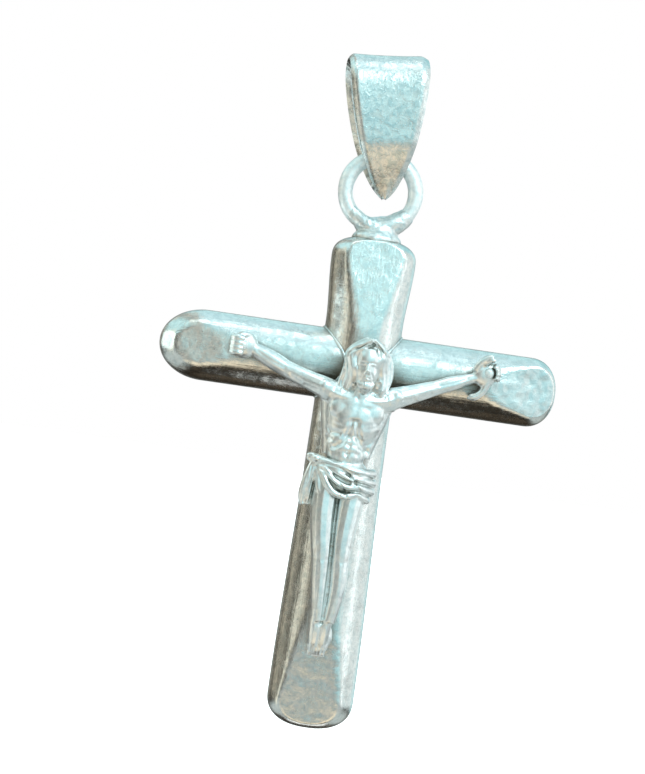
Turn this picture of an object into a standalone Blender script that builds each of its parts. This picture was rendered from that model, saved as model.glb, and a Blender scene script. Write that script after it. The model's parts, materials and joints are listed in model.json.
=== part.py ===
"""Crucifix pendant in silver: a hollow tube cross with domed, flat-faced ends, a cast corpus held by three
nails, a soldered suspension ring and a folded drop bail that swings on the ring.

Run with: blender --background --python part.py
Units are metres, +Z is up and -Y is the front. The origin is where a chain bears on the inside of the bail.
"""

import math

import bmesh
import bpy
from mathutils import Matrix, Vector

MM = 0.001

# Driving dimensions, in millimetres
WALL = 0.45  # tube and end cap wall
GAP = 0.05  # solder film between neighbouring pieces
UPRIGHT_RADIUS = 2.72
PLATE_THICKNESS = 0.25
WIRE_RADIUS = 0.56
RING_RADIUS = 2.46  # centre of the wire
RING_CENTRE = (-0.2, 0.0, 12.42)  # from the middle of the crossing
RING_SEAM_DEGREES = 3.0
BAIL_LEAN_DEGREES = 6.5  # the bail leans this far from the cross, towards -X
BAIL_STRIP = 0.45
BAIL_HALF_DEPTH = 2.15
BAIL_TOP = 7.2  # above the ring wire, along the bail
BAIL_TIP = 2.85  # below the ring wire
BAIL_HALF_WIDTH = 2.66
BAIL_TAPER_TOP = 6.35  # above the ring wire, where the strip begins to narrow
BAIL_TAPER_POWERS = (1.5, 0.61)  # how late the narrowing starts, and how blunt the tip is
BAIL_TWIST_DEGREES = 1.5  # the bail is turned this far about its height, its front leaf towards +X
BAIL_TIP_EDGE = (0.3, -BAIL_TIP)  # where the two tips meet, as (half depth, height above the wire)
# The middle of the strip down one leaf, from the crown to the tip, as (half depth, height above the wire)
BAIL_LEAF = [(1.925, 5.05), (1.925, 2.9), (1.86, 1.6), (1.70, 0.5), (1.43, -0.45), (1.02, -1.25), (0.58, -1.95),
             (0.24, -2.5), (0.1, -2.72)]
NAIL_SHANK_RADIUS = 0.22
NAIL_HEAD_RADIUS = 0.42
NAIL_HEAD_HEIGHT = 0.28

# Each end of the cross: turn about Y, reach to the tip, half width and half depth at the tip, height and
# squareness of its dome, how long and how deep its flat face is, and how far the face is turned about the tube.
ENDS = {
    "top": dict(turn=0, reach=9.2, wide=2.98, deep=2.68, dome=1.6, square=2.6, face=6.6, cut=1.0, twist=0),
    "right": dict(turn=90, reach=14.1, wide=2.44, deep=2.44, dome=2.0, square=2.2, face=5.4, cut=1.3, twist=0),
    "bottom": dict(turn=180, reach=25.6, wide=3.04, deep=2.7, dome=2.2, square=2.4, face=8.6, cut=1.05, twist=6),
    "left": dict(turn=-90, reach=14.1, wide=2.48, deep=2.48, dome=3.2, square=2.0, face=5.6, cut=0.9, twist=0),
}
FLARE_START = {"top": 3.0, "bottom": 3.0}  # where the upright begins to widen towards that end
UPRIGHT_STATIONS = [-21.0, -18.5, -16.0, -13.0, -8.0, 3.0, 4.5, 6.0]  # heights of the upright's inner sections
GAS_PASSAGE_RADIUS = 0.6  # the hole through the upright that lets gas out of the arms while they are soldered
SOLDER = dict(centre=(-0.15, 0, 0.3), sizes=(1.62, 1.25, 1.15))  # from the tip of the top end

SEGMENTS = 32
DOME_RINGS = 6
BEYOND = 4.0  # how far a cutter reaches across, past the outside of any tube
FACE_SPAN = (-8.0, 12.0)  # how far a flat face's cutter runs along it, from the face's inner end


# ---------------------------------------------------------------- scene and small helpers


def clear_scene():
    for obj in list(bpy.data.objects):
        bpy.data.objects.remove(obj, do_unlink=True)


def silver(name, colour, roughness):
    material = bpy.data.materials.new(name)
    material.use_nodes = True
    shader = material.node_tree.nodes["Principled BSDF"]
    shader.inputs["Base Color"].default_value = (*colour, 1.0)
    shader.inputs["Metallic"].default_value = 1.0
    shader.inputs["Roughness"].default_value = roughness
    return material


def empty(name, location=(0, 0, 0), turn_y=0.0, parent=None):
    frame = bpy.data.objects.new(name, None)
    bpy.context.scene.collection.objects.link(frame)
    frame.location = Vector(location) * MM
    frame.rotation_euler = (0, math.radians(turn_y), 0)
    frame.parent = parent
    return frame


def place(name, bm, frame, material=None):
    """The bmesh, given in millimetres, becomes a smooth-shaded object in its frame."""
    bmesh.ops.recalc_face_normals(bm, faces=bm.faces)
    bmesh.ops.scale(bm, vec=(MM, MM, MM), verts=bm.verts)
    mesh = bpy.data.meshes.new(name)
    bm.to_mesh(mesh)
    bm.free()
    mesh.shade_smooth()
    mesh.set_sharp_from_angle(angle=math.radians(35))
    obj = bpy.data.objects.new(name, mesh)
    bpy.context.scene.collection.objects.link(obj)
    obj.parent = frame
    if material:
        mesh.materials.append(material)
    else:
        obj.hide_render = True
        obj.display_type = "WIRE"
    return obj


def boolean(obj, operation, *others):
    for other in others:
        modifier = obj.modifiers.new(f"{operation.lower()}_{other.name}", "BOOLEAN")
        modifier.operation = operation
        modifier.solver = "EXACT"
        modifier.object = other


def loft(sections):
    """A closed solid through rings of points. A section of one point closes the end as a pole."""
    bm = bmesh.new()
    rings = [[bm.verts.new(point) for point in section] for section in sections]
    for below, above in zip(rings, rings[1:]):
        count = max(len(below), len(above))
        for i in range(count):
            j = (i + 1) % count
            corners = [below[i % len(below)], below[j % len(below)], above[j % len(above)], above[i % len(above)]]
            bm.faces.new(list(dict.fromkeys(corners)))
    for ring in (rings[0], rings[-1]):
        if len(ring) > 2:
            bm.faces.new(ring)
    return bm


def oval(z, wide, deep, segments=SEGMENTS):
    if wide < 1e-6:
        return [(0.0, 0.0, z)]
    angles = [2 * math.pi * i / segments for i in range(segments)]
    return [(wide * math.cos(a), deep * math.sin(a), z) for a in angles]


def prism(outline, axis, low, high):
    """A flat outline of (across, up) points, extruded along X or Y."""
    def section(depth):
        return [(depth, a, z) if axis == "X" else (a, depth, z) for a, z in outline]
    return loft([section(low), section(high)])


def box(low, high):
    corners = [(low[0], low[2]), (high[0], low[2]), (high[0], high[2]), (low[0], high[2])]
    return prism(corners, "Y", low[1], high[1])


def smooth_step(t):
    t = min(max(t, 0.0), 1.0)
    return t * t * (3 - 2 * t)


# ---------------------------------------------------------------- the cross


def section_at(end, z):
    """Half width and half depth of the cross at a distance z out from the crossing, ahead of the dome."""
    size = ENDS[end]
    if end not in FLARE_START:
        return size["wide"], size["deep"]
    spread = smooth_step((z - FLARE_START[end]) / (size["reach"] - size["dome"] - FLARE_START[end]))
    wide = UPRIGHT_RADIUS + (size["wide"] - UPRIGHT_RADIUS) * spread
    deep = UPRIGHT_RADIUS + (size["deep"] - UPRIGHT_RADIUS) * spread
    return wide, deep


def dome_sections(end, inset=0.0, rings=DOME_RINGS):
    """Rings from the foot of the dome to its pole, as a quarter of a superellipse."""
    size = ENDS[end]
    wide, deep = section_at(end, size["reach"])
    height = size["dome"] - inset
    sections = []
    for i in range(rings + 1):
        angle = math.pi / 2 * i / rings
        share = max(math.cos(angle), 0.0) ** (2 / size["square"])
        rise = math.sin(angle) ** (2 / size["square"])
        z = size["reach"] - size["dome"] + height * rise
        if i == rings:
            share = 0.0
        sections.append(oval(z, (wide - inset) * share, (deep - inset) * share))
    return sections


def end_blank(end, start, inset=0.0):
    """The full outer form of one end, from a distance start out to the tip, solid."""
    foot = ENDS[end]["reach"] - ENDS[end]["dome"]
    stations = [start + (foot - start) * i / 4 for i in range(4)]
    sections = [oval(z, section_at(end, z)[0] - inset, section_at(end, z)[1] - inset) for z in stations]
    return loft(sections + dome_sections(end, inset))


def upright_sections(inset=0.0, longer=0.0):
    """Rings up the upright, between the feet of its two domes."""
    top = ENDS["top"]["reach"] - ENDS["top"]["dome"] - GAP / 2 + longer
    bottom = ENDS["bottom"]["reach"] - ENDS["bottom"]["dome"] - GAP / 2 + longer
    sections = []
    for z in [-bottom, *UPRIGHT_STATIONS, top]:
        wide, deep = section_at("top" if z > 0 else "bottom", abs(z))
        sections.append(oval(z, wide - inset, deep - inset))
    return sections


def facet_frame(end, frame, sink):
    """An empty on the flat face's plane, at its inner end, sunk below it, with +Z running along the face."""
    size = ENDS[end]
    apex = size["reach"] - size["face"]
    slope = math.atan2(size["cut"], size["face"])
    turned = empty(f"{end}_face_turn", parent=frame)
    turned.rotation_euler = (0, 0, math.radians(size["twist"]))
    spot = empty(f"{end}_face_frame", parent=turned)
    spot.location = Vector((0, -section_at(end, apex)[1] + sink / math.cos(slope), apex)) * MM
    spot.rotation_euler = (-slope, 0, 0)
    return spot


def facet_cutter(end, frame, sink):
    spot = facet_frame(end, frame, sink)
    return place(f"{end}_face_cutter", box((-BEYOND, -BEYOND, FACE_SPAN[0]), (BEYOND, 0, FACE_SPAN[1])), spot)


def make_end(end, frame, materials):
    """The domed cap and the flat face plate that close one end, and the cutter that opens the tube there."""
    opened = facet_cutter(end, frame, PLATE_THICKNESS + GAP)
    cap = place(f"{end}_end_cap", loft(dome_sections(end)), frame, materials["dome"])
    hollow = loft([oval(ENDS[end]["reach"] - ENDS[end]["dome"] - 1, *inner_foot(end))] + dome_sections(end, WALL, 4))
    core = place(f"{end}_cap_core", hollow, frame)
    foot_cut = ENDS[end]["reach"] - ENDS[end]["dome"] + GAP / 2
    trim = place(f"{end}_cap_trim", box((-BEYOND, -BEYOND, foot_cut - 3), (BEYOND, BEYOND, foot_cut)), frame)
    boolean(cap, "DIFFERENCE", core, trim, opened)

    plate = place(f"{end}_face_plate", end_blank(end, ENDS[end]["reach"] - 1.6 * ENDS[end]["face"]), frame,
                  materials["face"])
    slab_frame = facet_frame(end, frame, 0.0)
    slab_box = box((-BEYOND, 0, FACE_SPAN[0]), (BEYOND, PLATE_THICKNESS, FACE_SPAN[1]))
    slab = place(f"{end}_plate_slab", slab_box, slab_frame)
    boolean(plate, "INTERSECT", slab)
    return opened, plate


def inner_foot(end):
    wide, deep = section_at(end, ENDS[end]["reach"])
    return wide - WALL, deep - WALL


def make_cross(frame, frames, materials):
    """The upright tube, the two arm tubes coped to it, and the caps and plates of all four ends."""
    upright = place("upright_tube", loft(upright_sections()), frame, materials["tube"])
    core = place("upright_core", loft(upright_sections(inset=WALL, longer=1.0)), frame)
    cope = place("cope_cutter", loft([oval(z, UPRIGHT_RADIUS + GAP, UPRIGHT_RADIUS + GAP) for z in (-6, 6)]), frame)
    vent = place("gas_passage", loft([oval(z, GAS_PASSAGE_RADIUS, GAS_PASSAGE_RADIUS, 16) for z in (-4, 4)]), frames["right"])
    boolean(upright, "DIFFERENCE", core, vent)

    plates = {}
    for end in ENDS:
        opened, plates[end] = make_end(end, frames[end], materials)
        if end in FLARE_START:
            boolean(upright, "DIFFERENCE", opened)
            continue
        foot = ENDS[end]["reach"] - ENDS[end]["dome"] - GAP / 2
        wide, deep = section_at(end, foot)
        outside = loft([oval(z, wide, deep) for z in (0.5, foot)])
        inside = loft([oval(z, wide - WALL, deep - WALL) for z in (0, foot + 1)])
        arm = place(f"{end}_arm_tube", outside, frames[end], materials["tube"])
        arm_core = place(f"{end}_arm_core", inside, frames[end])
        boolean(arm, "DIFFERENCE", arm_core, cope, opened)
        plates[f"{end}_arm"] = arm
    plates["upright"] = upright
    return plates


# ---------------------------------------------------------------- ring, solder and bail


def torus(radius, wire, seam_degrees=0.0, around=36, sides=10):
    """A ring in the XZ plane, open at the bottom by its seam."""
    sections = []
    first = math.radians(-90 + seam_degrees / 2)
    sweep = math.radians(360 - seam_degrees)
    for i in range(around + 1):
        angle = first + sweep * i / around
        out = Vector((math.cos(angle), 0, math.sin(angle)))
        ring = []
        for k in range(sides):
            turn = 2 * math.pi * k / sides
            ring.append(tuple(out * (radius + wire * math.cos(turn)) + Vector((0, wire * math.sin(turn), 0))))
        sections.append(ring)
    return loft(sections)


def ball(centre, sizes):
    """An ellipsoid."""
    bm = bmesh.new()
    bmesh.ops.create_uvsphere(bm, u_segments=18, v_segments=10, radius=1.0)
    bm.transform(Matrix.Translation(centre) @ Matrix.Diagonal((*sizes, 1.0)))
    return bm


def make_ring(frame, cross_frame, frames, material):
    ring = place("suspension_ring", torus(RING_RADIUS, WIRE_RADIUS, RING_SEAM_DEGREES), frame, material)
    seat = place("ring_seat_cutter", torus(RING_RADIUS, WIRE_RADIUS + GAP, 0.5), frame)
    centre = Vector(SOLDER["centre"]) + Vector((0, 0, ENDS["top"]["reach"]))
    lump = place("ring_solder", ball(centre, SOLDER["sizes"]), cross_frame, material)
    blank = place("top_end_form", end_blank("top", 2.0, inset=-GAP), frames["top"])
    boolean(lump, "DIFFERENCE", seat, blank)
    return ring


def bail_side_outline(offset):
    """The loop from the side, as (depth, height) points: the middle of the strip, moved out by an offset."""
    crown = BAIL_TOP - BAIL_HALF_DEPTH
    radius = BAIL_HALF_DEPTH - BAIL_STRIP / 2 + offset
    arch = [(radius * math.cos(a), crown + radius * math.sin(a)) for a in turns(0, 180, 16)]
    leaf = []
    for before, here, after in zip(BAIL_LEAF, BAIL_LEAF[1:], BAIL_LEAF[2:]):
        run = Vector(after) - Vector(before)
        out = Vector((-run.y, run.x)).normalized()
        leaf.append((here[0] + out.x * offset, here[1] + out.y * offset))
    if offset > 0:
        leaf.append(BAIL_TIP_EDGE)
    return arch + [(-y, z) for y, z in leaf] + leaf[::-1]


def turns(first, last, count):
    return [math.radians(first + (last - first) * i / count) for i in range(count + 1)]


def leaf_half_width(z):
    """Half the width of the bail's strip at a height z, full at the crown and pointed at the tip."""
    share = min(max((BAIL_TAPER_TOP - z) / (BAIL_TAPER_TOP + BAIL_TIP), 0.0), 1.0)
    late, blunt = BAIL_TAPER_POWERS
    return BAIL_HALF_WIDTH * (1 - share ** late) ** blunt


def make_bail(frame, material):
    half = BAIL_HALF_WIDTH + 0.5
    bail = place("bail", prism(bail_side_outline(BAIL_STRIP / 2), "X", -half, half), frame, material)
    eye = place("bail_eye_cutter", prism(bail_side_outline(-BAIL_STRIP / 2), "X", -half - 1, half + 1), frame)
    taper = BAIL_TAPER_TOP + BAIL_TIP - 0.02
    heights = [BAIL_TOP + 0.5] + [BAIL_TAPER_TOP - taper * i / 14 for i in range(15)]
    right = [(leaf_half_width(z), z) for z in heights]
    left = [(-w, z) for w, z in reversed(right)]
    leaf = place("bail_leaf_form", prism(right + left, "Y", -4, 4), frame)
    boolean(bail, "DIFFERENCE", eye)
    boolean(bail, "INTERSECT", leaf)
    return bail


# ---------------------------------------------------------------- the corpus and its nails

# Landmarks of the figure from the middle of the crossing, in millimetres: X across, Y back, Z up.
HEAD = (0.2, -4.3, 0.0)
NECK = (0.05, -3.75, -2.0)
CHEST = (-0.1, -3.7, -3.5)
WAIST = (-0.45, -3.65, -5.8)
HIPS = (-0.35, -3.7, -8.0)
ARMS = {
    "left": dict(shoulder=(-2.3, -3.55, -1.75), elbow=(-5.1, -3.0, -0.95), wrist=(-7.6, -2.9, 0.1),
                 palm=(-8.4, -2.95, 0.4), fingers=(-8.75, -3.0, 0.45)),
    "right": dict(shoulder=(2.45, -3.55, -1.85), elbow=(5.2, -3.0, -0.7), wrist=(7.6, -2.9, 0.3),
                  palm=(8.6, -2.9, 0.75), fingers=(9.4, -2.95, 1.2)),
}
LEGS = {
    "left": dict(hip=(-1.25, -3.75, -8.6), knee=(-0.95, -4.35, -13.1), ankle=(-0.55, -3.35, -17.8),
                 toes=(-0.45, -2.95, -20.0)),
    "right": dict(hip=(0.7, -3.75, -8.6), knee=(0.55, -4.35, -12.9), ankle=(0.3, -3.35, -17.8),
                  toes=(0.15, -3.0, -19.9)),
}
# Where each nail goes in across and up, and the depth that its head rests at
NAILS = {
    "left_hand_nail": (-8.45, -3.45, 0.4),
    "right_hand_nail": (8.85, -3.35, 0.9),
    "feet_nail": (-0.3, -3.6, -18.7),
}
NAIL_TAIL = -1.75  # how far back each nail's tail reaches, inside the tube
CORPUS_VOXEL = 0.33


def limb(bm, start, end, radius_start, radius_end):
    """A tapered limb with round ends, added to the bmesh as three closed shells that overlap."""
    start, end = Vector(start), Vector(end)
    run = end - start
    turn = run.to_track_quat("Z", "Y").to_matrix().to_4x4()
    middle = Matrix.Translation((start + end) / 2) @ turn
    bmesh.ops.create_cone(bm, cap_ends=True, segments=14, radius1=radius_start, radius2=radius_end,
                          depth=run.length, matrix=middle)
    for centre, radius in ((start, radius_start), (end, radius_end)):
        bmesh.ops.create_icosphere(bm, subdivisions=2, radius=radius, matrix=Matrix.Translation(centre))


def mass(bm, centre, sizes, lean=0.0):
    """An ellipsoid of flesh, hair or cloth, leaning about Y by some degrees."""
    matrix = Matrix.Translation(Vector(centre)) @ Matrix.Rotation(math.radians(lean), 4, "Y")
    bmesh.ops.create_icosphere(bm, subdivisions=3, radius=1.0, matrix=matrix @ Matrix.Diagonal((*sizes, 1.0)))


def add_trunk(bm):
    mass(bm, HEAD, (1.45, 1.3, 1.85), 4)
    mass(bm, (HEAD[0] - 0.1, HEAD[1] + 0.3, HEAD[2] - 0.4), (1.65, 1.15, 1.75))
    limb(bm, NECK, (HEAD[0], HEAD[1] + 0.2, HEAD[2] - 1.0), 0.8, 0.85)
    mass(bm, CHEST, (2.3, 1.15, 1.95))
    limb(bm, (-2.1, -3.65, -2.2), (2.25, -3.65, -2.3), 0.85, 0.85)
    mass(bm, WAIST, (1.85, 1.0, 2.2))
    mass(bm, HIPS, (2.05, 1.15, 1.7))


def add_cloth(bm):
    """The loincloth: a wrapped band, a knot at one hip and its hanging tail."""
    mass(bm, (-0.35, -3.75, -7.9), (2.3, 1.3, 1.5))
    mass(bm, (-2.3, -3.75, -6.8), (0.7, 0.65, 0.55), 20)
    limb(bm, (-2.4, -3.7, -7.0), (-2.75, -3.45, -9.3), 0.5, 0.55)


def add_arm(bm, arm):
    limb(bm, arm["shoulder"], arm["elbow"], 0.76, 0.6)
    limb(bm, arm["elbow"], arm["wrist"], 0.6, 0.46)
    limb(bm, arm["wrist"], arm["palm"], 0.46, 0.55)
    limb(bm, arm["palm"], arm["fingers"], 0.55, 0.42)


def add_leg(bm, leg):
    limb(bm, leg["hip"], leg["knee"], 1.02, 0.74)
    limb(bm, leg["knee"], leg["ankle"], 0.74, 0.5)
    limb(bm, leg["ankle"], leg["toes"], 0.52, 0.46)


def make_corpus(cross_frame, frames, material):
    """One casting. Its overlapping masses become a single skin, which is then fitted to the cross and nails."""
    bm = bmesh.new()
    add_trunk(bm)
    add_cloth(bm)
    for side in ("left", "right"):
        add_arm(bm, ARMS[side])
        add_leg(bm, LEGS[side])
    corpus = place("corpus", bm, cross_frame, material)
    skin = corpus.modifiers.new("skin", "REMESH")
    skin.mode = "VOXEL"
    skin.voxel_size = CORPUS_VOXEL * MM
    skin.adaptivity = 0.0
    skin.use_smooth_shade = True
    relax = corpus.modifiers.new("relax", "SMOOTH")
    relax.factor = 0.5
    relax.iterations = 2
    upright_seat = place("upright_seat", loft(upright_sections(inset=-GAP)), cross_frame)
    boolean(corpus, "DIFFERENCE", upright_seat)
    for end in ("left", "right"):
        seat = place(f"{end}_arm_seat", end_blank(end, 1.0, inset=-GAP), frames[end])
        boolean(corpus, "DIFFERENCE", seat)
    return corpus


def make_nail(name, cross_frame, material):
    """A round-headed nail driven straight back, its hole, and the space that its head needs."""
    x, depth, z = NAILS[name]
    frame = empty(f"{name}_frame", (x, depth, z), parent=cross_frame)
    frame.rotation_euler = (math.radians(-90), 0, 0)
    dome = [oval(-NAIL_HEAD_HEIGHT * math.cos(a), *[NAIL_HEAD_RADIUS * math.sin(a)] * 2, 16) for a in turns(0, 90, 4)]
    length = NAIL_TAIL - depth
    shank = [oval(place_z, NAIL_SHANK_RADIUS, NAIL_SHANK_RADIUS, 16) for place_z in (0.0, length - 0.3)]
    nail = place(name, loft(dome + shank + [oval(length, 0, 0)]), frame, material)
    wide = NAIL_SHANK_RADIUS + GAP
    hole = place(f"{name}_hole", loft([oval(end, wide, wide, 16) for end in (-0.1, length + 0.5)]), frame)
    clear = NAIL_HEAD_RADIUS + GAP
    sink = place(f"{name}_sink", loft([oval(end, clear, clear, 16) for end in (-3.0, GAP)]), frame)
    return nail, hole, sink


def main():
    clear_scene()
    materials = {
        "tube": silver("polished_silver", (0.80, 0.84, 0.84), 0.16),
        "face": silver("satin_silver", (0.76, 0.80, 0.80), 0.32),
        "dome": silver("polished_end_silver", (0.80, 0.84, 0.84), 0.18),
        "cast": silver("cast_silver", (0.78, 0.82, 0.82), 0.28),
        "ring": silver("wire_silver", (0.84, 0.87, 0.87), 0.22),
        "bail": silver("bail_silver", (0.78, 0.82, 0.83), 0.3),
    }
    lean = math.radians(BAIL_LEAN_DEGREES)
    hang = BAIL_TOP - BAIL_STRIP
    wire = (hang * math.sin(lean), 0, -hang * math.cos(lean))
    crossing = (wire[0] - RING_CENTRE[0], 0, wire[2] - RING_RADIUS - RING_CENTRE[2])
    cross_frame = empty("cross_frame", crossing)
    frames = {end: empty(f"{end}_frame", turn_y=ENDS[end]["turn"], parent=cross_frame) for end in ENDS}
    ring_frame = empty("ring_frame", RING_CENTRE, parent=cross_frame)
    bail_frame = empty("bail_frame", (0, 0, RING_RADIUS), -BAIL_LEAN_DEGREES, ring_frame)
    bail_frame.rotation_euler.z = math.radians(BAIL_TWIST_DEGREES)

    parts = make_cross(cross_frame, frames, materials)
    make_ring(ring_frame, cross_frame, frames, materials["ring"])
    make_bail(bail_frame, materials["bail"])
    corpus = make_corpus(cross_frame, frames, materials["cast"])
    walls = {
        "left_hand_nail": ("left_arm", "left"),
        "right_hand_nail": ("right_arm", "right"),
        "feet_nail": ("upright", "bottom"),
    }
    for name, walled in walls.items():
        nail, hole, sink = make_nail(name, cross_frame, materials["ring"])
        boolean(corpus, "DIFFERENCE", hole, sink)
        for part in walled:
            boolean(parts[part], "DIFFERENCE", hole)


main()
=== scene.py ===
# %% [markdown]
# # A silver crucifix pendant
# The pendant is a cross of silver tube with flat faces at its four ends, a cast figure on its front, a wire
# ring soldered to its top, and a folded bail that hangs on the ring. This notebook gives each piece its fine
# surface and its finish. The places and the movement come from the CAD frame, which is loaded first.

# %% Load the frame
import json
import math

import bpy
import numpy as np
from mathutils import Matrix, Vector, noise


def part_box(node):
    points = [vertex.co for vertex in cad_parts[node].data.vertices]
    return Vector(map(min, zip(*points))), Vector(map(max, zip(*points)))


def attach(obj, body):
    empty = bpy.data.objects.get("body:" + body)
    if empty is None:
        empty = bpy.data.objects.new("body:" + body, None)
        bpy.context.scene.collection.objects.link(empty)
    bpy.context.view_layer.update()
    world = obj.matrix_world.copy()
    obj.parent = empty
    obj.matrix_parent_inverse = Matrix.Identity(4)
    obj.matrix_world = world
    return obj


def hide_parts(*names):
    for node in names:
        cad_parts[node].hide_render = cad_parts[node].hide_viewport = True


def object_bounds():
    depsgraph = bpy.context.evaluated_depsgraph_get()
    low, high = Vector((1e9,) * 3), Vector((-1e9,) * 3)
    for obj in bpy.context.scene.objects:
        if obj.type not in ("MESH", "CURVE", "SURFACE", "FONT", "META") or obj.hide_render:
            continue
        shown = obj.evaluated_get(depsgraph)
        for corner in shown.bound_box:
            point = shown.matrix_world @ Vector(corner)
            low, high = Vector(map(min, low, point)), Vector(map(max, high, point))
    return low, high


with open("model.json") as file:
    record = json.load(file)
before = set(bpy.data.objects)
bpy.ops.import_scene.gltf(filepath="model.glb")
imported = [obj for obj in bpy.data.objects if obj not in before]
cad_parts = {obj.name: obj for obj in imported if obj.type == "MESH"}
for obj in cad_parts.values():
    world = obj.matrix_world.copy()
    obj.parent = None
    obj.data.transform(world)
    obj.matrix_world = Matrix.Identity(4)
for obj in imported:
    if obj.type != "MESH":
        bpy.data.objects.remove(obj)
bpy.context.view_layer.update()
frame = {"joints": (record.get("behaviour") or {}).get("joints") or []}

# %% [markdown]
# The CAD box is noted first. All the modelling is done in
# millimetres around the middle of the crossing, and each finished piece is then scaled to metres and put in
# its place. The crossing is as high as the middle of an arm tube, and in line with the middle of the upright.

MM = 0.001


def middle(node):
    low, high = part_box(node)
    return [(a + b) / 2 for a, b in zip(low, high)]


CROSSING = Vector((middle("upright_tube")[0], 0.0, middle("left_arm_tube")[2]))


def from_crossing(place):
    """A place in the frame, as millimetres across, back and up from the crossing."""
    return [(value - at) / MM for value, at in zip(place, CROSSING)]


def reach(node, axis, side):
    """How far a CAD piece reaches from the crossing along an axis (0, 1, 2), on its low or high side."""
    return from_crossing(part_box(node)[side])[axis]


# %% [markdown]
# Blender's operators act on whatever is selected, so every piece starts from an empty selection. A finished
# piece rides on a CAD body and stands for the CAD pieces that it replaces.

# %% Helpers that every piece uses


def start():
    bpy.ops.object.select_all(action="DESELECT")


def pick(*objects):
    start()
    for obj in objects:
        obj.select_set(True)
    bpy.context.view_layer.objects.active = objects[0]
    return objects[0]


def modify(obj, kind, **settings):
    modifier = obj.modifiers.new(kind.lower(), kind)
    for name, value in settings.items():
        setattr(modifier, name, value)
    pick(obj)
    bpy.ops.object.modifier_apply(modifier=modifier.name)


def to_place(obj, name, body, replaced, slot, *materials):
    """Place a piece that was made in millimetres round the crossing, and give it its name and finish."""
    pick(obj)
    obj.scale = (MM, MM, MM)
    obj.location = CROSSING
    bpy.ops.object.transform_apply(location=True, rotation=True, scale=True)
    obj.name = obj.data.name = name
    obj.data.materials.clear()
    for material in materials:
        obj.data.materials.append(material)
    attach(obj, body)
    if replaced:
        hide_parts(*replaced)
    return obj


# %% [markdown]
# The tubes, the ring and the bail are made as a smith makes them, from a flat sheet. A formula gets two
# numbers for each point of a grid, both from 0 to 1: how far it is round the piece and how far along it. It
# says where the point belongs, so rows of points lie exactly along the edges that have to be crisp.

# %% Wrap a flat grid into a shape
WELD = 0.0005  # points closer than this are joined


def read_points(obj, field="co"):
    """The places of a mesh's points, or their normals, as rows of three numbers."""
    values = np.empty(len(obj.data.vertices) * 3)
    obj.data.vertices.foreach_get(field, values)
    return values.reshape(-1, 3)


def write_points(obj, points):
    obj.data.vertices.foreach_set("co", points.ravel())
    obj.data.update()


def face_outwards(obj, weld=False):
    pick(obj)
    bpy.ops.object.mode_set(mode="EDIT")
    bpy.ops.mesh.select_all(action="SELECT")
    if weld:
        bpy.ops.mesh.remove_doubles(threshold=WELD)
    bpy.ops.mesh.normals_make_consistent(inside=False)
    bpy.ops.object.mode_set(mode="OBJECT")
    bpy.ops.object.shade_smooth()


def wrap(columns, rows, shape, closed=True):
    """shape(around, along) gives the place of every point of the grid, as three arrays."""
    start()
    bpy.ops.mesh.primitive_grid_add(x_subdivisions=columns, y_subdivisions=rows, size=2)
    obj = bpy.context.object
    flat = read_points(obj)
    write_points(obj, np.stack(shape((flat[:, 0] + 1) / 2, (flat[:, 1] + 1) / 2), axis=1))
    if closed:
        face_outwards(obj, weld=True)
    return obj


def ease(t):
    t = np.clip(t, 0.0, 1.0)
    return t * t * (3 - 2 * t)


# %% [markdown]
# ## Finishes
# Shader maths reads best as ordinary arithmetic, so `1 - mask * 0.5` adds the Math nodes for it. Any other
# node comes from `Finish.add`, which sets the node's options and then fills or links its inputs.

# %% Shader arithmetic


class Wire:
    """An output of a shader node, which can be used in arithmetic."""

    def __init__(self, finish, socket):
        self.finish, self.socket = finish, socket

    def maths(self, operation, *others):
        return self.finish.add("Math", dict(enumerate((self, *others))), operation=operation)

    def __add__(self, other):
        return self.maths("ADD", other)

    def __mul__(self, other):
        return self.maths("MULTIPLY", other)

    def __rsub__(self, other):
        return (self * -1.0).maths("ADD", other)

    def within(self, low, high):
        """0 below low, 1 above high, and smooth between them."""
        inputs = {"Value": self, "From Min": low, "From Max": high}
        return self.finish.add("MapRange", inputs, interpolation_type="SMOOTHSTEP")


class Finish:
    """A node tree that is being filled: a material's, or the world's."""

    def __init__(self, tree):
        self.tree = tree

    def add(self, kind, inputs=None, out=0, **settings):
        node = self.tree.nodes.new("ShaderNode" + kind)
        for name, value in settings.items():
            setattr(node, name, value)
        for name, value in (inputs or {}).items():
            self.feed(node.inputs[name], value)
        return Wire(self, node.outputs[out])

    def feed(self, socket, value):
        if isinstance(value, Wire):
            self.tree.links.new(value.socket, socket)
        elif hasattr(socket.default_value, "__len__") and len(value) < len(socket.default_value):
            socket.default_value = (*value, 1.0)
        else:
            socket.default_value = value

    def mix(self, share, first, second):
        return self.add("Mix", {"Factor": share, 6: first, 7: second}, out=2, data_type="RGBA")

    def noise(self, place, scale, detail, roughness, distortion=0.0):
        inputs = {"Vector": place, "Scale": scale, "Detail": detail, "Roughness": roughness}
        inputs["Distortion"] = distortion
        return self.add("TexNoise", inputs)


# %% [markdown]
# All of the pendant is silver, but worked in different ways. The tubes were polished along their length. The
# flat faces were filed and are duller. The casting has a tumbled skin with dark oxide in its hollows. One
# function makes them all from the same layers: a slow unevenness that bends reflections, fine lines along
# one direction, a grain, and a darker colour where the surface is sheltered. That darker colour is partly
# oxide and partly painted shade: creases, joints and the surface round the figure are painted darker, as
# shade would make them. Patterns are measured in millimetres.

# %% A silver finish
ACROSS_LINES, ALONG_LINES = 6.0, 0.25  # how often the fine lines vary in a millimetre


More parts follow.
